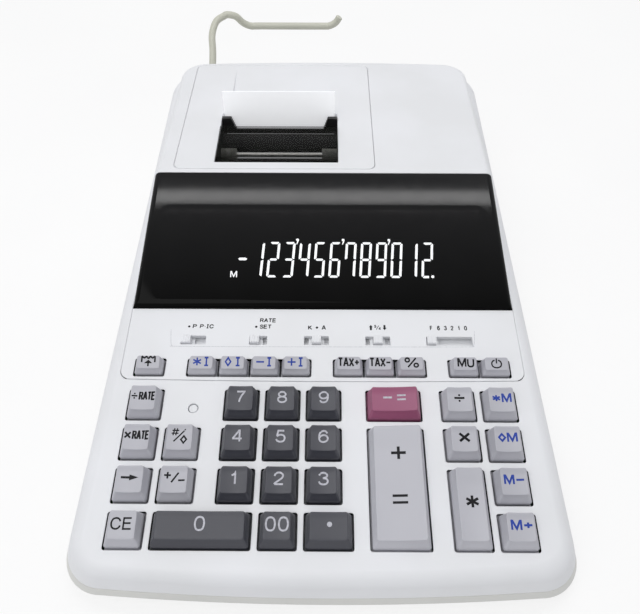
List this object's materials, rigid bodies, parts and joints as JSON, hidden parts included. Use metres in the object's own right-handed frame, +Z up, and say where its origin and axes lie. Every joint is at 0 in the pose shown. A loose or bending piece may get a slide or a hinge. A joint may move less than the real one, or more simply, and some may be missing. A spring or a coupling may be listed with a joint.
{
  "type": "printing calculator",
  "caption": "Desktop printing calculator: sloped keyboard, dark display window, slide switches, paper printer under a lift-off cover and a folding wire paper arm.",
  "frame": {"origin": "on the surface under the calculator, below the centre of its box, which takes in the paper arm", "axes": "+X to the user's right, +Y from the keyboard to the paper arm, +Z up"},
  "size_m": [0.222, 0.3826, 0.0928],
  "materials": {
    "bottom_case": "fine moulded texture, warm grey",
    "top_case": "fine moulded texture, off-white",
    "upper_housing": "fine moulded texture, off-white",
    "display_window": "polished black acrylic",
    "display_module": "dark glass on a circuit board",
    "printer_frame": "black moulded",
    "paper_strip": "white, uncoated",
    "circuit_board": "green solder mask",
    "key_mat": "grey silicone",
    "transformer": "varnished laminations",
    "rubber_foot_front": "black, matt",
    "rubber_foot_rear": "black, matt",
    "printer_cover": "fine moulded texture, off-white",
    "tear_bar": "polished smoked acrylic",
    "paper_arm": "cream, smooth",
    "platen_roller": "black, ground",
    "print_shaft": "turned and polished",
    "reset_button": "white",
    "key_clear_entry": "light grey, fine moulded texture",
    "key_0": "dark grey, fine moulded texture",
    "key_00": "dark grey, fine moulded texture",
    "key_point": "dark grey, fine moulded texture",
    "key_plus_equals": "light grey, fine moulded texture",
    "key_total": "light grey, fine moulded texture",
    "key_memory_plus": "light grey, fine moulded texture",
    "key_backspace": "light grey, fine moulded texture",
    "key_sign": "light grey, fine moulded texture",
    "key_1": "dark grey, fine moulded texture",
    "key_2": "dark grey, fine moulded texture",
    "key_3": "dark grey, fine moulded texture",
    "key_memory_minus": "light grey, fine moulded texture",
    "key_times_rate": "light grey, fine moulded texture",
    "key_nonadd": "light grey, fine moulded texture",
    "key_4": "dark grey, fine moulded texture",
    "key_5": "dark grey, fine moulded texture",
    "key_6": "dark grey, fine moulded texture",
    "key_multiply": "light grey, fine moulded texture",
    "key_memory_subtotal": "light grey, fine moulded texture",
    "key_divide_rate": "light grey, fine moulded texture",
    "key_7": "dark grey, fine moulded texture",
    "key_8": "dark grey, fine moulded texture",
    "key_9": "dark grey, fine moulded texture",
    "key_minus_equals": "pink, fine moulded texture",
    "key_divide": "light grey, fine moulded texture",
    "key_memory_total": "light grey, fine moulded texture",
    "key_paper_feed": "light grey, fine moulded texture",
    "key_item_total": "light grey, fine moulded texture",
    "key_item_subtotal": "light grey, fine moulded texture",
    "key_item_minus": "light grey, fine moulded texture",
    "key_item_plus": "light grey, fine moulded texture",
    "key_tax_plus": "light grey, fine moulded texture",
    "key_tax_minus": "light grey, fine moulded texture",
    "key_percent": "light grey, fine moulded texture",
    "key_markup": "light grey, fine moulded texture",
    "key_power": "light grey, fine moulded texture",
    "switch_print": "off-white, ridged",
    "switch_rate": "off-white, ridged",
    "switch_mode": "off-white, ridged",
    "switch_rounding": "off-white, ridged",
    "switch_decimal": "off-white, ridged"
  },
  "bodies": {
    "case": {"bottom_case": "bottom_case", "top_case": "top_case", "upper_housing": "upper_housing", "display_window": "display_window", "display_module": "display_module", "printer_frame": "printer_frame", "paper_strip": "paper_strip", "circuit_board": "circuit_board", "key_mat": "key_mat", "transformer": "transformer", "rubber_foot_front": "rubber_foot_front", "rubber_foot_rear": "rubber_foot_rear"},
    "cover": {"printer_cover": "printer_cover", "tear_bar": "tear_bar"},
    "arm": {"paper_arm": "paper_arm"},
    "platen": {"platen_roller": "platen_roller"},
    "print_rollers": {"print_shaft": "print_shaft"},
    "reset": {"reset_button": "reset_button"},
    "key_clear_entry_cap": {"key_clear_entry": "key_clear_entry"},
    "key_0_cap": {"key_0": "key_0"},
    "key_00_cap": {"key_00": "key_00"},
    "key_point_cap": {"key_point": "key_point"},
    "key_plus_equals_cap": {"key_plus_equals": "key_plus_equals"},
    "key_total_cap": {"key_total": "key_total"},
    "key_memory_plus_cap": {"key_memory_plus": "key_memory_plus"},
    "key_backspace_cap": {"key_backspace": "key_backspace"},
    "key_sign_cap": {"key_sign": "key_sign"},
    "key_1_cap": {"key_1": "key_1"},
    "key_2_cap": {"key_2": "key_2"},
    "key_3_cap": {"key_3": "key_3"},
    "key_memory_minus_cap": {"key_memory_minus": "key_memory_minus"},
    "key_times_rate_cap": {"key_times_rate": "key_times_rate"},
    "key_nonadd_cap": {"key_nonadd": "key_nonadd"},
    "key_4_cap": {"key_4": "key_4"},
    "key_5_cap": {"key_5": "key_5"},
    "key_6_cap": {"key_6": "key_6"},
    "key_multiply_cap": {"key_multiply": "key_multiply"},
    "key_memory_subtotal_cap": {"key_memory_subtotal": "key_memory_subtotal"},
    "key_divide_rate_cap": {"key_divide_rate": "key_divide_rate"},
    "key_7_cap": {"key_7": "key_7"},
    "key_8_cap": {"key_8": "key_8"},
    "key_9_cap": {"key_9": "key_9"},
    "key_minus_equals_cap": {"key_minus_equals": "key_minus_equals"},
    "key_divide_cap": {"key_divide": "key_divide"},
    "key_memory_total_cap": {"key_memory_total": "key_memory_total"},
    "key_paper_feed_cap": {"key_paper_feed": "key_paper_feed"},
    "key_item_total_cap": {"key_item_total": "key_item_total"},
    "key_item_subtotal_cap": {"key_item_subtotal": "key_item_subtotal"},
    "key_item_minus_cap": {"key_item_minus": "key_item_minus"},
    "key_item_plus_cap": {"key_item_plus": "key_item_plus"},
    "key_tax_plus_cap": {"key_tax_plus": "key_tax_plus"},
    "key_tax_minus_cap": {"key_tax_minus": "key_tax_minus"},
    "key_percent_cap": {"key_percent": "key_percent"},
    "key_markup_cap": {"key_markup": "key_markup"},
    "key_power_cap": {"key_power": "key_power"},
    "switch_print_slider": {"switch_print": "switch_print"},
    "switch_rate_slider": {"switch_rate": "switch_rate"},
    "switch_mode_slider": {"switch_mode": "switch_mode"},
    "switch_rounding_slider": {"switch_rounding": "switch_rounding"},
    "switch_decimal_slider": {"switch_decimal": "switch_decimal"}
  },
  "joints": [
    {"name": "cover_lift", "type": "slide", "parent": "case", "child": "cover", "axis": [0, 0, 1], "range_m": [0, 0.06]},
    {"name": "arm_hinge", "type": "hinge", "parent": "case", "child": "arm", "pos_m": [-0.0665, 0.1409, 0.05], "axis": [1, 0, 0], "range_deg": [0, 50]},
    {"name": "platen_spin", "type": "hinge", "parent": "case", "child": "platen", "pos_m": [-0.026, 0.0572, 0.062], "axis": [1, 0, 0], "continuous": true},
    {"name": "print_rollers_spin", "type": "hinge", "parent": "case", "child": "print_rollers", "pos_m": [-0.026, 0.0457, 0.062], "axis": [1, 0, 0], "continuous": true},
    {"name": "reset_press", "type": "slide", "parent": "case", "child": "reset", "axis": [0, -0.1392, 0.9903], "range_m": [-0.0015, 0], "stiffness_N_per_m": 300},
    {"name": "key_clear_entry_press", "type": "slide", "parent": "case", "child": "key_clear_entry_cap", "axis": [0, -0.1392, 0.9903], "range_m": [-0.003, 0], "stiffness_N_per_m": 300},
    {"name": "key_0_press", "type": "slide", "parent": "case", "child": "key_0_cap", "axis": [0, -0.1392, 0.9903], "range_m": [-0.003, 0], "stiffness_N_per_m": 300},
    {"name": "key_00_press", "type": "slide", "parent": "case", "child": "key_00_cap", "axis": [0, -0.1392, 0.9903], "range_m": [-0.003, 0], "stiffness_N_per_m": 300},
    {"name": "key_point_press", "type": "slide", "parent": "case", "child": "key_point_cap", "axis": [0, -0.1392, 0.9903], "range_m": [-0.003, 0], "stiffness_N_per_m": 300},
    {"name": "key_plus_equals_press", "type": "slide", "parent": "case", "child": "key_plus_equals_cap", "axis": [0, -0.1392, 0.9903], "range_m": [-0.003, 0], "stiffness_N_per_m": 300},
    {"name": "key_total_press", "type": "slide", "parent": "case", "child": "key_total_cap", "axis": [0, -0.1392, 0.9903], "range_m": [-0.003, 0], "stiffness_N_per_m": 300},
    {"name": "key_memory_plus_press", "type": "slide", "parent": "case", "child": "key_memory_plus_cap", "axis": [0, -0.1392, 0.9903], "range_m": [-0.003, 0], "stiffness_N_per_m": 300},
    {"name": "key_backspace_press", "type": "slide", "parent": "case", "child": "key_backspace_cap", "axis": [0, -0.1392, 0.9903], "range_m": [-0.003, 0], "stiffness_N_per_m": 300},
    {"name": "key_sign_press", "type": "slide", "parent": "case", "child": "key_sign_cap", "axis": [0, -0.1392, 0.9903], "range_m": [-0.003, 0], "stiffness_N_per_m": 300},
    {"name": "key_1_press", "type": "slide", "parent": "case", "child": "key_1_cap", "axis": [0, -0.1392, 0.9903], "range_m": [-0.003, 0], "stiffness_N_per_m": 300},
    {"name": "key_2_press", "type": "slide", "parent": "case", "child": "key_2_cap", "axis": [0, -0.1392, 0.9903], "range_m": [-0.003, 0], "stiffness_N_per_m": 300},
    {"name": "key_3_press", "type": "slide", "parent": "case", "child": "key_3_cap", "axis": [0, -0.1392, 0.9903], "range_m": [-0.003, 0], "stiffness_N_per_m": 300},
    {"name": "key_memory_minus_press", "type": "slide", "parent": "case", "child": "key_memory_minus_cap", "axis": [0, -0.1392, 0.9903], "range_m": [-0.003, 0], "stiffness_N_per_m": 300},
    {"name": "key_times_rate_press", "type": "slide", "parent": "case", "child": "key_times_rate_cap", "axis": [0, -0.1392, 0.9903], "range_m": [-0.003, 0], "stiffness_N_per_m": 300},
    {"name": "key_nonadd_press", "type": "slide", "parent": "case", "child": "key_nonadd_cap", "axis": [0, -0.1392, 0.9903], "range_m": [-0.003, 0], "stiffness_N_per_m": 300},
    {"name": "key_4_press", "type": "slide", "parent": "case", "child": "key_4_cap", "axis": [0, -0.1392, 0.9903], "range_m": [-0.003, 0], "stiffness_N_per_m": 300},
    {"name": "key_5_press", "type": "slide", "parent": "case", "child": "key_5_cap", "axis": [0, -0.1392, 0.9903], "range_m": [-0.003, 0], "stiffness_N_per_m": 300},
    {"name": "key_6_press", "type": "slide", "parent": "case", "child": "key_6_cap", "axis": [0, -0.1392, 0.9903], "range_m": [-0.003, 0], "stiffness_N_per_m": 300},
    {"name": "key_multiply_press", "type": "slide", "parent": "case", "child": "key_multiply_cap", "axis": [0, -0.1392, 0.9903], "range_m": [-0.003, 0], "stiffness_N_per_m": 300},
    {"name": "key_memory_subtotal_press", "type": "slide", "parent": "case", "child": "key_memory_subtotal_cap", "axis": [0, -0.1392, 0.9903], "range_m": [-0.003, 0], "stiffness_N_per_m": 300},
    {"name": "key_divide_rate_press", "type": "slide", "parent": "case", "child": "key_divide_rate_cap", "axis": [0, -0.1392, 0.9903], "range_m": [-0.003, 0], "stiffness_N_per_m": 300},
    {"name": "key_7_press", "type": "slide", "parent": "case", "child": "key_7_cap", "axis": [0, -0.1392, 0.9903], "range_m": [-0.003, 0], "stiffness_N_per_m": 300},
    {"name": "key_8_press", "type": "slide", "parent": "case", "child": "key_8_cap", "axis": [0, -0.1392, 0.9903], "range_m": [-0.003, 0], "stiffness_N_per_m": 300},
    {"name": "key_9_press", "type": "slide", "parent": "case", "child": "key_9_cap", "axis": [0, -0.1392, 0.9903], "range_m": [-0.003, 0], "stiffness_N_per_m": 300},
    {"name": "key_minus_equals_press", "type": "slide", "parent": "case", "child": "key_minus_equals_cap", "axis": [0, -0.1392, 0.9903], "range_m": [-0.003, 0], "stiffness_N_per_m": 300},
    {"name": "key_divide_press", "type": "slide", "parent": "case", "child": "key_divide_cap", "axis": [0, -0.1392, 0.9903], "range_m": [-0.003, 0], "stiffness_N_per_m": 300},
    {"name": "key_memory_total_press", "type": "slide", "parent": "case", "child": "key_memory_total_cap", "axis": [0, -0.1392, 0.9903], "range_m": [-0.003, 0], "stiffness_N_per_m": 300},
    {"name": "key_paper_feed_press", "type": "slide", "parent": "case", "child": "key_paper_feed_cap", "axis": [0, -0.1392, 0.9903], "range_m": [-0.003, 0], "stiffness_N_per_m": 300},
    {"name": "key_item_total_press", "type": "slide", "parent": "case", "child": "key_item_total_cap", "axis": [0, -0.1392, 0.9903], "range_m": [-0.003, 0], "stiffness_N_per_m": 300},
    {"name": "key_item_subtotal_press", "type": "slide", "parent": "case", "child": "key_item_subtotal_cap", "axis": [0, -0.1392, 0.9903], "range_m": [-0.003, 0], "stiffness_N_per_m": 300},
    {"name": "key_item_minus_press", "type": "slide", "parent": "case", "child": "key_item_minus_cap", "axis": [0, -0.1392, 0.9903], "range_m": [-0.003, 0], "stiffness_N_per_m": 300},
    {"name": "key_item_plus_press", "type": "slide", "parent": "case", "child": "key_item_plus_cap", "axis": [0, -0.1392, 0.9903], "range_m": [-0.003, 0], "stiffness_N_per_m": 300},
    {"name": "key_tax_plus_press", "type": "slide", "parent": "case", "child": "key_tax_plus_cap", "axis": [0, -0.1392, 0.9903], "range_m": [-0.003, 0], "stiffness_N_per_m": 300},
    {"name": "key_tax_minus_press", "type": "slide", "parent": "case", "child": "key_tax_minus_cap", "axis": [0, -0.1392, 0.9903], "range_m": [-0.003, 0], "stiffness_N_per_m": 300},
    {"name": "key_percent_press", "type": "slide", "parent": "case", "child": "key_percent_cap", "axis": [0, -0.1392, 0.9903], "range_m": [-0.003, 0], "stiffness_N_per_m": 300},
    {"name": "key_markup_press", "type": "slide", "parent": "case", "child": "key_markup_cap", "axis": [0, -0.1392, 0.9903], "range_m": [-0.003, 0], "stiffness_N_per_m": 300},
    {"name": "key_power_press", "type": "slide", "parent": "case", "child": "key_power_cap", "axis": [0, -0.1392, 0.9903], "range_m": [-0.003, 0], "stiffness_N_per_m": 300},
    {"name": "switch_print_slide", "type": "slide", "parent": "case", "child": "switch_print_slider", "axis": [1, 0, 0], "range_m": [0, 0.007]},
    {"name": "switch_rate_slide", "type": "slide", "parent": "case", "child": "switch_rate_slider", "axis": [1, 0, 0], "range_m": [0, 0.0035]},
    {"name": "switch_mode_slide", "type": "slide", "parent": "case", "child": "switch_mode_slider", "axis": [1, 0, 0], "range_m": [-0.0035, 0.0035]},
    {"name": "switch_rounding_slide", "type": "slide", "parent": "case", "child": "switch_rounding_slider", "axis": [1, 0, 0], "range_m": [-0.0035, 0.0035]},
    {"name": "switch_decimal_slide", "type": "slide", "parent": "case", "child": "switch_decimal_slider", "axis": [1, 0, 0], "range_m": [0, 0.0175]}
  ],
  "couplings": [
    {"joint": "print_rollers_spin", "follows": "platen_spin", "ratio": -1.4474}
  ]
}
